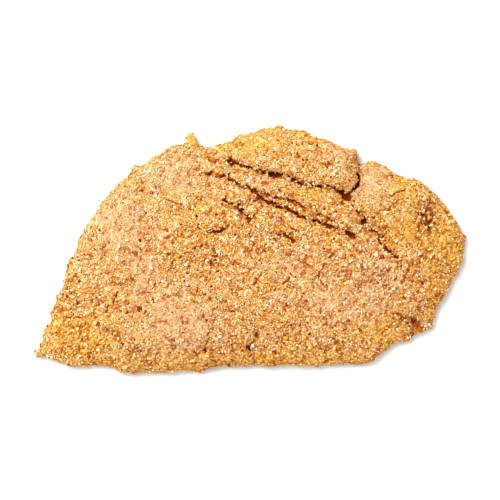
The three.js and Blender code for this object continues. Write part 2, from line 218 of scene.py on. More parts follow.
class CrustSettings(bpy.types.PropertyGroup):
    pitch: length_property("Pitch", "Size of the coat's mesh, halved twice at cracks", 0.7)
    clump_height: length_property("Clump height", "How far clumps of crust stand over their creases", 0.33)
    clump_pitch: length_property("Clump pitch", "From clump to clump", 3.1)
    crag_height: length_property("Crag height", "How far the coat's fine crags stand up", 0.24)
    crag_pitch: length_property("Crag pitch", "From crag to crag", 1.15)
    fissure: length_property("Fissure", "Breadth of the finest cracks", 0.8)
    crust: colour_property("Crust", "The coat's main colour", 210, 184, 147)
    pale: colour_property("Pale", "Its palest flecks", 244, 226, 204)
    golden: colour_property("Golden", "Thick crust", 222, 184, 92)
    # Rim is painted glow: the coat's sides, the clumps at the rim and the crumbs there turn this golden
    # colour, which stands in for light shining through the thin crumbs.
    rim: colour_property("Rim", "The thin crust round the rim", 223, 180, 104)
    # Ground is partly the coat's own amber and partly painted shade: it is kept darker than the crumbs so
    # that the gaps between them look shaded.
    ground: colour_property("Ground", "What shows between the crumbs", 192, 133, 52)
    # Toasted: the colour of brown flecks and toasted crumbs, and painted shade in the coat's hollows, pits
    # and crack walls and on crumbs in hollows.
    toasted_and_shade: colour_property("Toasted", "Its brown flecks and gaps", 160, 74, 2)
    meat: colour_property("Meat", "Meat that shows through thin crust", 209, 178, 147)
    bare: colour_property("Bare", "Meat where the crust has come off", 146, 84, 58)
    # Crack is painted shade: the dark floor of cracks and fissures, darker where a crack is deeper.
    crack: colour_property("Crack", "The floor of cracks", 122, 62, 18)


class CrumbSettings(bpy.types.PropertyGroup):
    fine_size: length_property("Fine crumbs", "Breadth of a fine crumb", 0.76)
    fine_gap: length_property("Fine gap", "About how far apart fine crumbs lie", 0.72)
    coarse_size: length_property("Coarse crumbs", "Breadth of a coarse crumb", 1.15)
    coarse_gap: length_property("Coarse gap", "About how far apart coarse crumbs lie", 1.8)
    toasted_size: length_property("Toasted crumbs", "Breadth of a toasted crumb", 0.8)
    toasted_gap: length_property("Toasted gap", "About how far apart toasted crumbs lie", 2.1)
    flake_size: length_property("Flakes", "Breadth of a flake", 1.9)
    flake_gap: length_property("Flake gap", "About how far apart flakes lie", 4.4)
    fringe_size: length_property("Fringe crumbs", "Breadth of a crumb that sticks out of the rim", 1.05)
    fringe_gap: length_property("Fringe gap", "About how far apart fringe crumbs lie", 1.5)


class StageSettings(bpy.types.PropertyGroup):
    floor: colour_property("Floor", "The pale floor", 224, 224, 224)
    key: FloatProperty(name="Key light", description="Power of the soft light", default=6.3, unit="POWER")
    key_size: length_property("Key size", "Breadth of the soft light", 600)
    key_place: FloatVectorProperty(
        name="Key place",
        description="Where the soft light stands, above and past the upper left",
        default=(-0.36, 0.36, 0.73),
        subtype="TRANSLATION",
        unit="LENGTH",
    )
    fill: FloatProperty(
        name="Fill light", description="Brightness of the white surroundings", default=0.76, subtype="FACTOR"
    )
    lens: FloatProperty(name="Lens", description="Focal length of the camera", default=110, unit="CAMERA")
    filled: FloatProperty(
        name="Filled",
        description="How much of the picture's width the slice fills",
        default=88,
        subtype="PERCENTAGE",
    )


# ---- Points and noise ----

SHEET_STEP = 17.3  # waves from one sheet of noise to the next


def waves(points, pitch, sheet):
    """Smooth noise at each point, about -1 to 1, with waves of a pitch. Each sheet is another noise."""
    places = points / pitch + sheet * SHEET_STEP
    return np.array([noise.noise(place) for place in places.tolist()])


def domes(points, pitch, sheet):
    """Rounded lumps with creases between them: 1 at a lump's middle and down to about 0 in a crease."""
    places = points / pitch + sheet * SHEET_STEP
    nearest = np.array([noise.voronoi(place)[0][0] for place in places.tolist()])
    return 1 - np.clip(nearest / 0.8, 0, 1) ** 2


def patches(kind, points):
    """How strongly each point lies in the patches of one kind, from 0 to 1, with ragged edges."""
    ragged = np.ones(len(points))
    for strength, pitch, sheet in RAGGED_EDGES:
        ragged += strength * waves(points, pitch, sheet)
    found = np.zeros(len(points))
    for (x, y), (reach_x, reach_y), strength in PATCHES[kind]:
        away = ((points[:, 0] / MM - x) / reach_x) ** 2 + ((points[:, 1] / MM - y) / reach_y) ** 2
        found = np.maximum(found, strength * np.exp(-away))
    return np.clip(found * ragged, 0, 1)


def jagged(points):
    """Points moved sideways by broad and by fine noise, which makes what is drawn at them jagged."""
    moved = points.copy()
    for amount, pitch, sheet in JAGS:
        moved[:, 0] += amount * waves(points, pitch, sheet)
        moved[:, 1] += amount * waves(points, pitch, sheet + 1)
    return moved


def distance_to_fissures(points):
    """Distance in the plan from each point to the nearest fissure."""
    plan = points[:, :2]
    nearest = np.full(len(points), np.inf)
    for line in FISSURES:
        for start, end in zip(line, line[1:]):
            start, along = np.array(start) * MM, (np.array(end) - start) * MM
            share = np.clip((plan - start) @ along / (along @ along), 0, 1)
            away = np.linalg.norm(plan - start - share[:, None] * along, axis=1)
            nearest = np.minimum(nearest, away)
    return nearest


def mixed(first, second, share):
    """Rows of first turned towards second by each row's share."""
    share = np.clip(share, 0, 1)[:, None]
    return np.asarray(first) * (1 - share) + np.asarray(second) * share


def rising(values, low, high):
    """0 up to low, 1 from high on, and straight between them."""
    return np.clip((values - low) / (high - low), 0, 1)


def thinned(points, gaps, generator):
    """Which points to keep, taken in a random order, so that a kept one has no other within its gap."""
    tree = kdtree.KDTree(len(points))
    for index, point in enumerate(points.tolist()):
        tree.insert(point, index)
    tree.balance()
    free = np.ones(len(points), bool)
    kept = []
    for index in generator.permutation(len(points)).tolist():
        if free[index]:
            kept.append(index)
            for _, other, _ in tree.find_range(points[index], gaps[index]):
                free[other] = False
    return np.array(kept)


# ---- Meshes ----


def vertex_places(mesh):
    places = np.empty(len(mesh.vertices) * 3)
    mesh.vertices.foreach_get("co", places)
    return places.reshape(-1, 3)


def vertex_normals(mesh):
    normals = np.empty(len(mesh.vertices) * 3)
    mesh.vertex_normals.foreach_get("vector", normals)
    return normals.reshape(-1, 3)


def store(mesh, name, values):
    mesh.attributes.new(name, "FLOAT", "POINT").data.foreach_set("value", values.astype(np.float32))


def stored(mesh, name):
    values = np.empty(len(mesh.vertices), np.float32)
    mesh.attributes[name].data.foreach_get("value", values)
    return values


def evened(mesh, places, rounds):
    """Places averaged over their neighbours along the mesh's edges, again and again."""
    edges = np.empty(len(mesh.edges) * 2, np.int32)
    mesh.edges.foreach_get("vertices", edges)
    one, other = edges.reshape(-1, 2).T
    here, there = np.concatenate([one, other]), np.concatenate([other, one])
    counts = np.bincount(here, minlength=len(places))
    for _ in range(rounds):
        sums = [np.bincount(here, places[there, axis], len(places)) for axis in range(places.shape[1])]
        places = np.stack(sums, 1) / counts[:, None]
    return places


def add_piece(name, mesh, material):
    piece = bpy.data.objects.new(name, mesh)
    bpy.context.scene.collection.objects.link(piece)
    mesh.materials.append(material)
    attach(piece, BODY)
    return piece


# ---- Materials ----


def add_node(tree, kind, inputs=None, **settings):
    """A shader node with its settings, and with each named input set to a value or linked from a socket."""
    made = tree.nodes.new("ShaderNode" + kind)
    for name, value in settings.items():
        setattr(made, name, value)
    for name, value in (inputs or {}).items():
        if isinstance(value, bpy.types.NodeSocket):
            tree.links.new(value, made.inputs[name])
        else:
            made.inputs[name].default_value = value
    return made


def new_material(name, roughness):
    """A dull surface that light sinks a little way into, its red the deepest."""
    material = bpy.data.materials.new(name)
    material.use_nodes = True
    shader = material.node_tree.nodes["Principled BSDF"]
    shader.inputs["Roughness"].default_value = roughness
    shader.inputs["Specular IOR Level"].default_value = 0.06
    shader.inputs["Subsurface Weight"].default_value = 0.6
    shader.inputs["Subsurface Scale"].default_value = 0.5 * MM
    shader.inputs["Subsurface Radius"].default_value = (1.0, 0.4, 0.12)
    return material, material.node_tree, shader


def ramp(tree, value, stops):
    """A colour ramp over a value: stops are (place, linear colour)."""
    made = add_node(tree, "ValToRGB", {"Fac": value})
    elements = made.color_ramp.elements
    while len(elements) < len(stops):
        elements.new(0.5)
    for element, (place, shade) in zip(elements, stops):
        element.position = place
        element.color = (*shade, 1)
    return made.outputs["Color"]


def blend(tree, share, first, second):
    """Turns the first colour towards the second by a share."""
    made = add_node(tree, "Mix", data_type="RGBA")
    for index, value in ((0, share), (6, first), (7, second)):
        if isinstance(value, bpy.types.NodeSocket):
            tree.links.new(value, made.inputs[index])
        else:
            made.inputs[index].default_value = value if index == 0 else (*value, 1)
    return made.outputs[2]


def scaled(tree, value, low, high, to_low=0.0, to_high=1.0):
    sizes = {"Value": value, "From Min": low, "From Max": high, "To Min": to_low, "To Max": to_high}
    return add_node(tree, "MapRange", sizes).outputs["Result"]


# How the coat's values colour it, in this order: the value, the colour that it turns the coat to, where that
# begins and where it is full, and how far it turns.
COAT_TINTS = (
    ("thin", "meat", 0.0, 1.0, 0.7),
    ("golden", "golden", 0.0, 1.0, 0.45),
    # painted glow on the sides and on the clumps at the rim
    ("rim", "rim", 0.2, 1.0, 0.7),
    ("clumped", "rim", 0.1, 0.6, 1.0),
    # painted shade in hollows, pits and crack walls
    ("hollow", "toasted_and_shade", 0.1, 0.9, 0.65),
    ("pit", "toasted_and_shade", 0.1, 0.6, 0.65),
    ("clear", "toasted_and_shade", 0.2, 0.9, 0.7),
    ("bare", "bare", 0.25, 0.8, 0.9),
    # painted shade on the floors of cracks and fissures
    ("cleft", "crack", 0.1, 0.7, 1.0),
)
FLECK = 0.62 * MM
MOTTLE = 2.4 * MM
COAT_GRAIN = 0.45 * MM
CRUMB_GRAIN = 0.5 * MM


def waves_node(tree, place, pitch, detail):
    """Smooth noise with waves of a pitch, as a shader value from 0 to 1."""
    sizes = {"Vector": place, "Scale": 1 / pitch, "Detail": detail}
    return add_node(tree, "TexNoise", sizes).outputs["Fac"]


def add_bump(tree, shader, height, strength, distance):
    bump = add_node(tree, "Bump", {"Height": height, "Strength": strength, "Distance": distance})
    tree.links.new(bump.outputs["Normal"], shader.inputs["Normal"])


def coat_material(settings):
    """Flecks over a mottled crust, turned towards meat, gold, bare meat, a painted rim glow and painted shade
    in hollows, pits and cracks where the coat says so.
    """
    material, tree, shader = new_material("crumb_coat", 0.85)
    place = add_node(tree, "TexCoord").outputs["Object"]
    flecks = add_node(tree, "TexVoronoi", {"Vector": place, "Scale": 1 / FLECK})
    fleck_draw = add_node(tree, "SeparateColor", {"Color": flecks.outputs["Color"]}).outputs["Red"]
    fleck_stops = (
        (0.1, settings.toasted_and_shade),
        (0.35, settings.ground),
        (0.7, settings.crust),
        (0.95, settings.pale),
    )
    fleck_colour = ramp(tree, fleck_draw, fleck_stops)
    mottle = waves_node(tree, place, MOTTLE, 3.0)
    mottle_stops = ((0.3, settings.golden), (0.5, settings.ground), (0.65, settings.crust))
    shade = blend(tree, 0.6, ramp(tree, mottle, mottle_stops), fleck_colour)
    for name, tint, low, high, most in COAT_TINTS:
        value = add_node(tree, "Attribute", attribute_name=name).outputs["Fac"]
        shade = blend(tree, scaled(tree, value, low, high, 0, most), shade, getattr(settings, tint))
    tree.links.new(shade, shader.inputs["Base Color"])
    add_bump(tree, shader, waves_node(tree, place, COAT_GRAIN, 4.0), strength=0.7, distance=0.25 * MM)
    return material


def crumb_material(name):
    """Each crumb's own colour with painted shade at its foot, a little uneven over the crumb."""
    material, tree, shader = new_material(name, 0.8)
    own = add_node(tree, "Attribute", attribute_name="crumb_colour_and_foot_shade").outputs["Color"]
    uneven = waves_node(tree, add_node(tree, "TexCoord").outputs["Object"], CRUMB_GRAIN, 2.0)
    value = scaled(tree, uneven, 0.3, 0.7, 0.85, 1.12)
    toned = add_node(tree, "HueSaturation", {"Color": own, "Value": value})
    tree.links.new(toned.outputs["Color"], shader.inputs["Base Color"])
    add_bump(tree, shader, uneven, strength=0.4, distance=0.15 * MM)
    return material


# ---- The solid's cracks ----


class PlanGrid:
    """Heights of the solid's top on a square grid over its plan, and how deep its cracks are there."""

    PITCH = 0.3 * MM
    MARGIN = 3 * MM
    CRACK_REACH = 8  # grid steps: what is narrower than twice this counts as a crack
    FLOOR_REACH = 4  # grid steps: from a crack's floor to its lips
    RIM_REACH = 5  # grid steps: how near the outline no crack is bridged

    def __init__(self, solid):
        mesh = solid.data
        corners = [vertex.co for vertex in mesh.vertices]
        tree = BVHTree.FromPolygons(corners, [tuple(face.vertices) for face in mesh.polygons])
        self.start = np.array(CAD_LOW)[:2] - self.MARGIN
        span = np.array(CAD_HIGH)[:2] - self.start + self.MARGIN
        columns, rows = (span / self.PITCH).astype(int)
        self.heights = np.zeros((rows, columns))
        above = CAD_HIGH.z + self.MARGIN
        down = Vector((0, 0, -1))
        for row in range(rows):
            y = self.start[1] + row * self.PITCH
            for column in range(columns):
                hit = tree.ray_cast(Vector((self.start[0] + column * self.PITCH, y, above)), down)[0]
                if hit:
                    self.heights[row, column] = hit.z
        raised = self.spread(self.heights, np.maximum, self.CRACK_REACH)
        closed = self.spread(raised, np.minimum, self.CRACK_REACH)
        self.depths = closed - self.heights
        self.floors = self.spread(self.depths, np.maximum, self.FLOOR_REACH)
        self.inland = self.spread((self.heights > 0).astype(float), np.minimum, self.RIM_REACH)

    def spread(self, grid, choose, reach):
        """Each place's highest or lowest neighbour within reach."""
        rows, columns = grid.shape
        padded = np.pad(grid, reach)
        found = grid.copy()
        for down in range(-reach, reach + 1):
            for right in range(-reach, reach + 1):
                if down * down + right * right <= reach * reach:
                    top, left = reach + down, reach + right
                    found = choose(found, padded[top : top + rows, left : left + columns])
        return found

    def at(self, grid, points):
        """A grid's value at each point of the plan."""
        spot = (points[:, :2] - self.start) / self.PITCH
        last = np.array(grid.shape)[::-1] - 1.001  # just short of the last step, so that each has a next
        spot = np.clip(spot, 0, last)
        column, row = spot.astype(int).T
        right, up = (spot - spot.astype(int)).T
        lower = grid[row, column] * (1 - right) + grid[row, column + 1] * right
        upper = grid[row + 1, column] * (1 - right) + grid[row + 1, column + 1] * right
        return lower * (1 - up) + upper * up


# ---- The coat ----


# Heights and depths of the coat's relief, in millimetres.
MOUND_HEIGHT = 0.6  # of crumbs gathered in a clump
BARE_DEPTH = 0.45  # of a spot without crust
PIT_DEPTH = 0.4
CRACK_DEPTH = 0.25  # more than the solid's cracks have
FISSURE_DEPTH = 0.3

RIM_ROOM = 3 * MM  # how far the coat's map spreads the rim past the outline
REFINED = ((0.25, 1.2 * MM), (0.45, 0.7 * MM))  # each round: how near a crack's floor, how near a fissure


def remeshed(source, pitch):
    """The frame's solid as an even fine mesh, with its facets rounded off."""
    copy = bpy.data.objects.new("coat_form", source.data.copy())
    bpy.context.scene.collection.objects.link(copy)
    voxels = copy.modifiers.new("voxels", "REMESH")
    voxels.mode = "VOXEL"
    voxels.voxel_size = pitch
    rounding = copy.modifiers.new("rounding", "SMOOTH")
    rounding.factor = 0.5
    rounding.iterations = 3
    bpy.context.view_layer.update()
    mesh = bpy.data.meshes.new_from_object(copy.evaluated_get(bpy.context.evaluated_depsgraph_get()))
    bpy.data.objects.remove(copy)
    mesh.name = "crumb_coat"
    mesh.materials.clear()
    return mesh


def coat_map(mesh, places, outward):
    """A map with the top in its lower half, the underside in its upper half, and the rim spread out."""
    low, high = np.array(CAD_LOW), np.array(CAD_HIGH)
    size = high - low + 2 * RIM_ROOM
    span = max(size[0], 2 * size[1])
    plan = (places + outward * RIM_ROOM - low + RIM_ROOM)[:, :2] / span
    corners = np.empty(len(mesh.loops), np.int32)
    mesh.loops.foreach_get("vertex_index", corners)
    faces = np.empty(len(mesh.polygons) * 3)
    mesh.polygons.foreach_get("normal", faces)
    counts = np.empty(len(mesh.polygons), np.int32)
    mesh.polygons.foreach_get("loop_total", counts)
    below = np.repeat(faces.reshape(-1, 3)[:, 2] < 0, counts)
    spots = plan[corners]
    spots[below, 1] += 0.5
    layer = mesh.uv_layers.new(name="OFBake")
    layer.uv.foreach_set("vector", spots.astype(np.float32).ravel())


def refined(mesh, wanted):
    """Halves every edge between wanted corners, and the faces with them."""
    fine = bmesh.new()
    fine.from_mesh(mesh)
    edges = [edge for edge in fine.edges if all(wanted[corner.index] for corner in edge.verts)]
    bmesh.ops.subdivide_edges(fine, edges=edges, cuts=1, use_grid_fill=True)
    fine.to_mesh(mesh)
    fine.free()


class Cracks:
    """What the solid's cracks and the finer fissures do at each of the coat's points, from 0 to 1."""

    SHALLOW = (0.4 * MM, 0.8 * MM)  # from no crack to a full one, by depth
    DEEPEST = (1.3 * MM, 2.4 * MM)  # from a usual crack to one of the deepest
    CLOSING = (-0.4, -0.15)  # of the breaks: from closed to open
    RIM_HEIGHT = 1.5 * MM  # below this the coat stays whole
    EDGE = 0.76  # how near its floor a crack's walls stand, 1 being the floor
    DEEP_WIDENING = 0.22
    UNEVEN_WIDENING = 0.25
    LIP = 0.24  # how far out from that a crack's lip stands, in the same measure
    SOFTNESS = 0.08

    def __init__(self, grid, places, fissure):
        moved = jagged(places)
        depth, self.deep = grid.at(grid.depths, moved), grid.at(grid.floors, moved)
        self.on_top = places[:, 2] > self.RIM_HEIGHT + 0.25 * grid.at(grid.heights, places)
        self.nearness = depth / np.maximum(self.deep, 0.1 * MM) * rising(self.deep, *self.SHALLOW)
        deepest = rising(self.deep, *self.DEEPEST)
        breaks = waves(places, *CRACK_BREAKS) + 0.25 * deepest - 1.2 * patches("bridged", places)
        gaping = rising(breaks, *self.CLOSING) * self.on_top
        wide = rising(waves(places, *CRACK_WIDTHS), -0.35, 0.35)
        edge = self.EDGE - deepest * (self.DEEP_WIDENING + self.UNEVEN_WIDENING * wide)
        self.floor = rising(self.nearness, edge - self.SOFTNESS, edge + self.SOFTNESS) * gaping
        self.side = rising(self.nearness, edge - self.LIP, edge - self.SOFTNESS) * gaping
        inland = grid.at(grid.inland, places) > 0.9
        self.bridge = grid.at(grid.depths, places) * (1 - gaping) * inland * self.on_top
        self.to_fissure = distance_to_fissures(moved)
        fissure_open = rising(waves(places, *FISSURE_BREAKS), -0.35, 0) * self.on_top
        breadth = fissure * (0.55 + 0.45 * rising(waves(places, *FISSURE_WIDTHS), -0.3, 0.3))
        self.fissure = (1 - rising(self.to_fissure, 0.1 * breadth, 0.5 * breadth)) * fissure_open
        self.fissure_side = (1 - rising(self.to_fissure, 0.5 * breadth, 0.9 * breadth)) * fissure_open


def coat_values(places, cracks):
    """What lies at each of the coat's points before its relief: shares from 0 to 1, by name."""
    pits = waves(places, *PITTING) + 0.7 * patches("torn", places)
    remains = rising(waves(places, *BARE_REMAINS), -0.35, 0.1)  # where bits of crust still cling
    # Painted shade: cleft darkens the floors of cracks, more where a crack is deeper, and the fissures; clear
    # darkens the crack walls beside them.
    floor = cracks.floor * (0.6 + 0.4 * rising(cracks.deep, 1 * MM, 1.8 * MM))
    return {
        "coarse": patches("coarse", places),
        "pit": rising(pits, 0.72, 0.9) * cracks.on_top,
        "bare": patches("bare", places) * cracks.on_top * remains,
        "cleft": np.maximum(floor, 0.75 * cracks.fissure),
        "clear": np.maximum(cracks.side, cracks.fissure_side),
    }


def coat_relief(settings, places, values):
    """How far the coat stands out at each point: clumps and crags, mounds, bare spots and pits."""
    coarse = values["coarse"]
    clumps = domes(jagged(places), settings.clump_pitch, CLUMP_SHEET) - 0.6
    relief = settings.clump_height * clumps * (0.6 + 0.8 * coarse)
    relief += settings.crag_height * waves(places, settings.crag_pitch, CRAG_SHEET) * (0.5 + 1.6 * coarse)
    relief *= 1 - 0.5 * values["cleft"]
    mounds = MOUND_HEIGHT * patches("clumped", places)
    relief += MM * (mounds - BARE_DEPTH * values["bare"] - PIT_DEPTH * values["pit"])
    return relief


def flattened(places, underneath):
    """Lifts what reaches below the floor, and the underside into shallow hollows."""
    hollows = 0.25 * MM * np.clip(1 + waves(places, *UNDERSIDE_HOLLOWS), 0, 2)
    places[underneath, 2] = np.maximum(places[underneath, 2], hollows[underneath])
    places[:, 2] = np.maximum(places[:, 2], 0)


def make_coat(settings):
    """Lays the coat over the solid, gives it its relief and stores in it what lies where."""
    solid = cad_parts[NODE]
    grid = PlanGrid(solid)
    mesh = remeshed(solid, settings.pitch)
    for nearness, reach in REFINED:
        cracks = Cracks(grid, vertex_places(mesh), settings.fissure)
        refined(mesh, ((cracks.nearness > nearness) | (cracks.to_fissure < reach)) & cracks.on_top)
    places, normals = vertex_places(mesh), vertex_normals(mesh)
    cracks = Cracks(grid, places, settings.fissure)
    values = coat_values(places, cracks)
    places += normals * coat_relief(settings, places, values)[:, None]
    places[:, 2] += 0.8 * cracks.bridge
    deeper = 0.15 * cracks.deep + CRACK_DEPTH * MM
    places[:, 2] -= cracks.floor * deeper + cracks.fissure * FISSURE_DEPTH * MM
    flattened(places, normals[:, 2] < -0.7)
    mesh.vertices.foreach_set("co", places.ravel())
    mesh.update()

    closed = 1 - values["clear"]
    sunk = np.einsum("ij,ij->i", evened(mesh, places, 5) - places, vertex_normals(mesh)) / MM
    near_clear = evened(mesh, values["clear"][:, None], 8)[:, 0]
    # hollow marks where the coat lies below its neighbours: fewer crumbs lie there, and the coat and its
    # crumbs are painted darker there as shade.
    values["hollow"] = rising(sunk, 0.045, 0.15) * closed
    values["lip"] = rising(near_clear, 0.03, 0.2) * closed
    # rim marks the sides, which get the rim's painted glow.
    values["rim"] = rising(-normals[:, 2], -0.9, -0.15)
    for kind in ("thin", "golden", "clumped"):
        values[kind] = patches(kind, places)
    for name, value in values.items():
        store(mesh, name, value)
    coat_map(mesh, places, normals * (1, 1, 0))
    mesh.shade_smooth()
    piece = add_piece("crumb_coat", mesh, coat_material(settings))
    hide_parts(NODE)


# ---- Crumbs ----

COAT_VALUES = ("rim", "hollow", "cleft", "clear", "lip", "pit", "thin", "golden", "bare", "coarse", "clumped")
PAINTED_FOOT_SHADE = np.array((0.6, 0.26, 0.04))  # painted shade: how much red, green and blue is left at a crumb's foot, where it sinks into the coat
TRIES = 2.2  # spots drawn for each square of a gap, so that few gaps stay empty
COARSE_SWELL = 0.5  # how much larger fine crumbs are, and how much further apart, where the coat is coarse
STRETCH = ((0.9, 1.6), (0.65, 1.05), (0.45, 0.75))  # least and most length, breadth and height of a crumb
TOASTING = (0.72, 1.5)  # the exponents that make single crumbs paler or browner
CHUNK_KINDS = 32
FLAKE_KINDS = 24
FLOOR_GAP = 0.02 * MM


class Coat:
    """The finished coat as triangles that crumbs are strewn over."""

    def __init__(self):
        mesh = bpy.data.objects["crumb_coat"].data
        mesh.calc_loop_triangles()
        corners = np.empty(len(mesh.loop_triangles) * 3, np.int32)
        mesh.loop_triangles.foreach_get("vertices", corners)
        self.corners = corners.reshape(-1, 3)
        self.places = vertex_places(mesh)
        self.normals = vertex_normals(mesh)
        first, second, third = (self.places[self.corners[:, i]] for i in range(3))
        self.areas = np.linalg.norm(np.cross(second - first, third - first), axis=1) / 2
        self.values = {name: stored(mesh, name) for name in COAT_VALUES}

    def strewn(self, gap, seed, wanted, swell=0.0):
        """Random spots on the coat, about gap apart and wider by a share of swell where it is coarse.

        wanted gives each triangle's weight from the coat's values and the height there.
        """
        generator = np.random.default_rng(seed)
        values = {name: value[self.corners].mean(1) for name, value in self.values.items()}
        height = self.places[self.corners].mean(1)[:, 2]
        weight = self.areas * wanted(values, height)
        count = int(TRIES * weight.sum() / gap**2)
        drawn = self.corners[generator.choice(len(weight), count, p=weight / weight.sum())]
        parts = generator.dirichlet((1, 1, 1), count)
        spots = {name: np.einsum("nk,nk->n", parts, value[drawn]) for name, value in self.values.items()}
        spots["place"] = np.einsum("nk,nkj->nj", parts, self.places[drawn])
        normal = np.einsum("nk,nkj->nj", parts, self.normals[drawn])
        spots["normal"] = normal / np.linalg.norm(normal, axis=1)[:, None]
        gaps = gap * generator.uniform(0.8, 1.25, count) * (1 + swell * spots["coarse"])
        kept = thinned(spots["place"], gaps, generator)
        return {name: value[kept] for name, value in spots.items()}, generator


def chunk_shapes(generator, count):
    """Uneven angular crumbs about 1 across: a 20-sided ball with each corner pulled in or out."""
    ball = bmesh.new()
    bmesh.ops.create_icosphere(ball, subdivisions=1, radius=0.5)
    corners = np.array([corner.co for corner in ball.verts])
    faces = np.array([[corner.index for corner in face.verts] for face in ball.faces])
    ball.free()
    return corners * generator.uniform(0.42, 1.45, (count, len(corners), 1)), faces


def flake_shapes(generator, count, sides=7):
    """Thin ragged flakes about 1 across: a low dome over a ragged outline, closed underneath."""
    turns = (np.arange(sides) + generator.uniform(-0.3, 0.3, (count, sides))) * math.tau / sides
    radii = generator.uniform(0.32, 0.6, (count, sides))
    ring = np.stack([np.cos(turns) * radii, np.sin(turns) * radii, np.zeros_like(turns)], 2)
    upper = ring * (0.72, 0.72, 1) + (0, 0, 0.13) + generator.uniform(-0.05, 0.05, ring.shape)
    crown = np.zeros((count, 1, 3)) + (0, 0, 0.18)
    foot = np.zeros((count, 1, 3)) - (0, 0, 0.12)
    shapes = np.concatenate([ring, upper, crown, foot], 1)
    faces = []
    for side in range(sides):
        after = (side + 1) % sides
        faces += [(side, after, sides + after), (side, sides + after, sides + side)]
        faces += [(sides + side, sides + after, 2 * sides), (after, side, 2 * sides + 1)]
    return shapes, np.array(faces)


def turned_to(normals, generator, tilt):
    """A rotation for each crumb: its own up to the normal there, spun at random and tilted a little."""
    count = len(normals)
    up = normals + generator.normal(0, tilt, (count, 3))
    up /= np.linalg.norm(up, axis=1)[:, None]
    across = np.cross(up, generator.normal(0, 1, (count, 3)))
    across /= np.linalg.norm(across, axis=1)[:, None]
    return np.stack([across, np.cross(up, across), up], 2)


def crumb_map(mesh, shape, corners, count):
    """Gives each crumb a small square of the map to itself."""
    side = math.ceil(math.sqrt(count))
    crumb, corner = np.divmod(corners.ravel(), len(shape))
    own = shape[corner, :2] / (2.6 * np.abs(shape[:, :2]).max())
    spots = (np.stack([crumb % side, crumb // side], 1) + 0.5 + own) / side
    layer = mesh.uv_layers.new(name="OFBake")
    layer.uv.foreach_set("vector", spots.astype(np.float32).ravel())


def crumbs_mesh(name, shapes, faces, spots, sizes, stretch, lift, shades, generator, tilt):
    """Joins crumbs into one mesh, each lifted out of the coat by a share of its size, with painted shade that
    turns it amber at its foot.
    """
    count = len(sizes)
    chosen = shapes[generator.integers(len(shapes), size=count)] * stretch[:, None] * sizes[:, None, None]
    turns = turned_to(spots["normal"], generator, tilt)
    middles = spots["place"] + spots["normal"] * (lift * sizes)[:, None]
    places = np.einsum("nij,nkj->nki", turns, chosen) + middles[:, None]
    over_coat = np.einsum("nki,ni->nk", places - spots["place"][:, None], spots["normal"])
    # Painted shade: corners that lie below the coat's surface turn amber, less where the crust is thin.
    foot = rising(-over_coat / sizes[:, None], -0.3, 0) * (1 - 0.5 * spots["thin"])[:, None]
    colours_with_foot_shade = shades[:, None] * (1 - foot[..., None] * (1 - PAINTED_FOOT_SHADE))
    places[..., 2] = np.maximum(places[..., 2], FLOOR_GAP)
    corner_count = shapes.shape[1]
    corners = (faces[None] + np.arange(count)[:, None, None] * corner_count).reshape(-1, 3)
    mesh = bpy.data.meshes.new(name)
    mesh.vertices.add(count * corner_count)
    mesh.vertices.foreach_set("co", places.astype(np.float32).ravel())
    mesh.loops.add(corners.size)
    mesh.loops.foreach_set("vertex_index", corners.astype(np.int32).ravel())
    mesh.polygons.add(len(corners))
    mesh.polygons.foreach_set("loop_start", np.arange(len(corners), dtype=np.int32) * 3)
    mesh.update(calc_edges=True)
    tint = mesh.color_attributes.new("crumb_colour_and_foot_shade", "FLOAT_COLOR", "POINT")
    opaque = np.concatenate([colours_with_foot_shade, np.ones((count, corner_count, 1))], 2)
    tint.data.foreach_set("color", opaque.astype(np.float32).ravel())
    crumb_map(mesh, shapes[0], corners, count)
    return mesh


def crumb_shades(crust, spots, generator, shares):
    """A colour for each crumb, drawn by shares of pale, crust, golden and toasted, turned to its patch, to
    the painted rim glow and to painted shade in hollows and cracks.
    """
    palette = np.array([crust.pale, crust.crust, crust.golden, crust.toasted_and_shade])
    count = len(spots["place"])
    chances = np.array(shares) / sum(shares)
    drawn, other = (generator.choice(len(palette), count, p=chances) for _ in range(2))
    shades = mixed(palette[drawn], palette[other], generator.uniform(0, 0.5, count))
    shades = mixed(shades, crust.golden, spots["golden"] * 0.55)
    # Painted glow: crumbs on the sides and on the rim's clumps turn to the rim colour.
    shades = mixed(shades, crust.rim, np.maximum(spots["rim"] * 0.7, spots["clumped"]))
    shades = mixed(shades, crust.meat, spots["thin"] * 0.6)
    shades = mixed(shades, crust.bare, rising(spots["bare"], 0.35, 0.9))
    # Painted shade: crumbs in the coat's hollows turn browner, and crumbs in cracks turn to the dark crack
    # colour.
    shades = mixed(shades, crust.toasted_and_shade, spots["hollow"] * 0.5)
    shades = mixed(shades, crust.crack, rising(spots["cleft"], 0.1, 0.9))
    return shades ** generator.uniform(*TOASTING, (count, 1))


def add_crumbs(name, spots, generator, sizes, shares, lift, shapes=None, tilt=0.4):
    """One piece of crumbs at the given spots."""
    shapes, faces = shapes or chunk_shapes(generator, CHUNK_KINDS)
    stretch = np.stack([generator.uniform(*ends, len(sizes)) for ends in STRETCH], 1)
    shades = crumb_shades(bpy.context.scene.schnitzel_crust, spots, generator, shares)
    mesh = crumbs_mesh(name, shapes, faces, spots, sizes, stretch, lift, shades, generator, tilt)
    add_piece(name, mesh, crumb_material(name))


def sieved(generator, size, count, spread=0.28):
    """Sizes that scatter about one size as sieved crumbs do."""
    return size * np.clip(generator.lognormal(0, spread, count), 0.55, 1.9)


def crumb_cover(values, height):
    """How thickly crumbs lie: fully on top and rim, thinly underneath and hardly at all in cracks."""
    side = np.where(height > 0.6 * MM, 1.0, 0.22)
    whole = 1 - 0.96 * rising(np.maximum(values["clear"], values["pit"]), 0.3, 0.8)
    covered = 1 - 0.5 * rising(values["bare"], 0.3, 0.8)
    return side * whole * covered * (1 - 0.6 * values["hollow"])


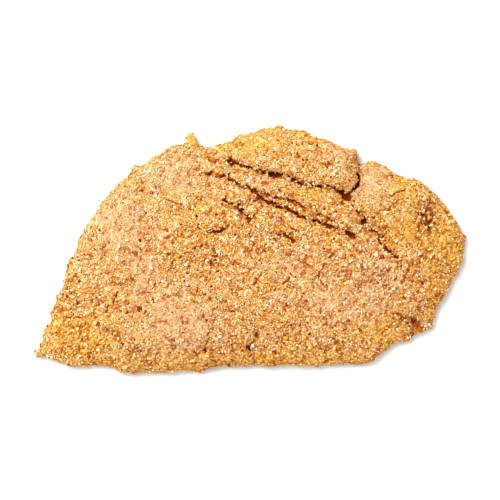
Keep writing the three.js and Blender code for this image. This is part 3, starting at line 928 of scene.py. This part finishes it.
def make_fine_crumbs(settings):
    def wanted(values, height):
        return crumb_cover(values, height) * (1 - 0.4 * values["thin"])

    spots, generator = Coat().strewn(settings.fine_gap, 11, wanted, COARSE_SWELL)
    pale = generator.random(len(spots["place"])) < 0.5
    for name, kept, shares in (
        ("pale_crumbs", pale, (5, 6, 1, 0)),
        ("golden_crumbs", ~pale, (0.4, 5, 4, 1.8)),
    ):
        some = {key: value[kept] for key, value in spots.items()}
        sizes = sieved(generator, settings.fine_size, kept.sum()) * (1 + COARSE_SWELL * some["coarse"])
        lift = generator.uniform(-0.05, 0.35, kept.sum())
        add_crumbs(name, some, generator, sizes, shares, lift)


def make_coarse_crumbs(settings):
    def wanted(values, height):
        share = 0.15 + values["coarse"] + values["lip"] + 3 * values["clumped"]
        return crumb_cover(values, height) * share * (1 - values["hollow"])

    spots, generator = Coat().strewn(settings.coarse_gap, 23, wanted)
    count = len(spots["place"])
    sizes = sieved(generator, settings.coarse_size, count)
    lift = generator.uniform(-0.1, 0.2, count)
    add_crumbs("coarse_crumbs", spots, generator, sizes, (1.2, 5, 4, 0.8), lift)


def make_toasted_crumbs(settings):
    def wanted(values, height):
        share = 0.5 + 0.5 * values["coarse"] + 0.5 * values["bare"]
        return crumb_cover(values, height) * share * (1 - 0.7 * values["rim"]) * (1 - values["clumped"])

    spots, generator = Coat().strewn(settings.toasted_gap, 37, wanted)
    count = len(spots["place"])
    sizes = sieved(generator, settings.toasted_size, count)
    lift = generator.uniform(0.05, 0.3, count)
    add_crumbs("toasted_crumbs", spots, generator, sizes, (0, 1, 3, 4), lift)


def make_flakes(settings):
    def wanted(values, height):
        return crumb_cover(values, height) * (0.3 + values["coarse"]) * (values["hollow"] < 0.3)

    spots, generator = Coat().strewn(settings.flake_gap, 41, wanted)
    sizes = sieved(generator, settings.flake_size, len(spots["place"]), 0.25)
    shapes = flake_shapes(generator, FLAKE_KINDS)
    add_crumbs("crust_flakes", spots, generator, sizes, (0.5, 6, 4, 0.5), 0.0, shapes, tilt=0.12)


def make_fringe(settings):
    def wanted(values, height):
        return 0.6 * (values["rim"] > 0.75) * (height > 0.8 * MM)

    spots, generator = Coat().strewn(settings.fringe_gap, 53, wanted)
    count = len(spots["place"])
    sizes = sieved(generator, settings.fringe_size, count, 0.3)
    lift = generator.uniform(-0.1, 0.25, count)
    add_crumbs("fringe_crumbs", spots, generator, sizes, (5, 4, 3, 0), lift)


# ---- The stage ----


FLOOR_REACH = 4.0
FLOOR_HEIGHT = -0.05 * MM


def make_floor(settings):
    mesh = bpy.data.meshes.new("floor")
    square = ((-1, -1), (1, -1), (1, 1), (-1, 1))
    corners = [(x * FLOOR_REACH, y * FLOOR_REACH, FLOOR_HEIGHT) for x, y in square]
    mesh.from_pydata(corners, [], [(0, 1, 2, 3)])
    floor = bpy.data.objects.new("floor", mesh)
    bpy.context.scene.collection.objects.link(floor)
    material, tree, shader = new_material("pale_floor", 0.9)
    place = add_node(tree, "TexCoord").outputs["Object"]
    cloud = add_node(tree, "TexNoise", {"Vector": place, "Scale": 3.0}).outputs["Fac"]
    paler = tuple(min(1, part * 1.02) for part in settings.floor)
    tree.links.new(blend(tree, cloud, tuple(settings.floor), paler), shader.inputs["Base Color"])
    mesh.materials.append(material)


def make_lights(settings):
    world = bpy.data.worlds.new("white_surroundings")
    world.use_nodes = True
    back = world.node_tree.nodes["Background"]
    back.inputs["Color"].default_value = (1, 1, 1, 1)
    back.inputs["Strength"].default_value = settings.fill
    bpy.context.scene.world = world
    light = bpy.data.lights.new("key_light", "AREA")
    light.shape = "DISK"
    light.size = settings.key_size
    light.energy = settings.key
    lamp = bpy.data.objects.new("key_light", light)
    lamp.location = settings.key_place
    lamp.rotation_euler = Vector(lamp.location).to_track_quat("Z", "Y").to_euler()
    bpy.context.scene.collection.objects.link(lamp)


def make_camera(settings):
    """Looks straight down, with the whole slice in the picture."""
    data = bpy.data.cameras.new("camera")
    data.lens = settings.lens
    middle = (CAD_LOW + CAD_HIGH) / 2
    across = (CAD_HIGH.x - CAD_LOW.x) / (settings.filled / 100)
    camera = bpy.data.objects.new("camera", data)
    camera.location = (middle.x, middle.y, CAD_HIGH.z + across * settings.lens / data.sensor_width)
    bpy.context.scene.collection.objects.link(camera)
    bpy.context.scene.camera = camera


# ---- Operators, one for each piece or group of like pieces ----


class SCHNITZEL_OT_coat(bpy.types.Operator):
    """Make the crumb coat over the slice's solid"""

    bl_idname = "schnitzel.coat"
    bl_label = "Crumb coat"

    def execute(self, context):
        make_coat(context.scene.schnitzel_crust)
        return {"FINISHED"}


class SCHNITZEL_OT_fine_crumbs(bpy.types.Operator):
    """Strew the pale and the golden fine crumbs that cover the coat"""

    bl_idname = "schnitzel.fine_crumbs"
    bl_label = "Fine crumbs"

    def execute(self, context):
        make_fine_crumbs(context.scene.schnitzel_crumbs)
        return {"FINISHED"}


class SCHNITZEL_OT_coarse_crumbs(bpy.types.Operator):
    """Strew the coarse crumbs, mostly where the coat is rough"""

    bl_idname = "schnitzel.coarse_crumbs"
    bl_label = "Coarse crumbs"

    def execute(self, context):
        make_coarse_crumbs(context.scene.schnitzel_crumbs)
        return {"FINISHED"}


class SCHNITZEL_OT_toasted_crumbs(bpy.types.Operator):
    """Strew the toasted brown crumbs"""

    bl_idname = "schnitzel.toasted_crumbs"
    bl_label = "Toasted crumbs"

    def execute(self, context):
        make_toasted_crumbs(context.scene.schnitzel_crumbs)
        return {"FINISHED"}


class SCHNITZEL_OT_flakes(bpy.types.Operator):
    """Lay thin flakes of crust on the coat"""

    bl_idname = "schnitzel.flakes"
    bl_label = "Crust flakes"

    def execute(self, context):
        make_flakes(context.scene.schnitzel_crumbs)
        return {"FINISHED"}


class SCHNITZEL_OT_fringe(bpy.types.Operator):
    """Stick crumbs out of the rim"""

    bl_idname = "schnitzel.fringe"
    bl_label = "Fringe crumbs"

    def execute(self, context):
        make_fringe(context.scene.schnitzel_crumbs)
        return {"FINISHED"}


class SCHNITZEL_OT_stage(bpy.types.Operator):
    """Set up the pale floor, the soft light and the camera"""

    bl_idname = "schnitzel.stage"
    bl_label = "Stage"

    def execute(self, context):
        settings = context.scene.schnitzel_stage
        make_floor(settings)
        make_lights(settings)
        make_camera(settings)
        context.scene.view_settings.view_transform = "Standard"
        context.scene.view_settings.look = "High Contrast"
        return {"FINISHED"}


OPERATORS = (
    SCHNITZEL_OT_stage,
    SCHNITZEL_OT_coat,
    SCHNITZEL_OT_fine_crumbs,
    SCHNITZEL_OT_coarse_crumbs,
    SCHNITZEL_OT_toasted_crumbs,
    SCHNITZEL_OT_flakes,
    SCHNITZEL_OT_fringe,
)
SETTINGS = {
    "schnitzel_crust": CrustSettings,
    "schnitzel_crumbs": CrumbSettings,
    "schnitzel_stage": StageSettings,
}


class VIEW3D_PT_schnitzel(bpy.types.Panel):
    """Lists what can be changed and what can be made"""

    bl_label = "Schnitzel"
    bl_category = "Schnitzel"
    bl_space_type = "VIEW_3D"
    bl_region_type = "UI"

    def draw(self, context):
        for name, group in SETTINGS.items():
            box = self.layout.box()
            box.label(text=name.replace("_", " ").capitalize())
            for key in group.__annotations__:
                box.prop(getattr(context.scene, name), key)
        for operator in OPERATORS:
            self.layout.operator(operator.bl_idname)


def register():
    for group in (*SETTINGS.values(), *OPERATORS, VIEW3D_PT_schnitzel):
        bpy.utils.register_class(group)
    for name, group in SETTINGS.items():
        setattr(bpy.types.Scene, name, PointerProperty(type=group))


def unregister():
    for name in SETTINGS:
        delattr(bpy.types.Scene, name)
    for group in (VIEW3D_PT_schnitzel, *reversed(OPERATORS), *SETTINGS.values()):
        bpy.utils.unregister_class(group)


def main():
    register()
    bpy.ops.schnitzel.stage()
    bpy.ops.schnitzel.coat()
    bpy.ops.schnitzel.fine_crumbs()
    bpy.ops.schnitzel.coarse_crumbs()
    bpy.ops.schnitzel.toasted_crumbs()
    bpy.ops.schnitzel.flakes()
    bpy.ops.schnitzel.fringe()


if __name__ == "__main__":
    main()
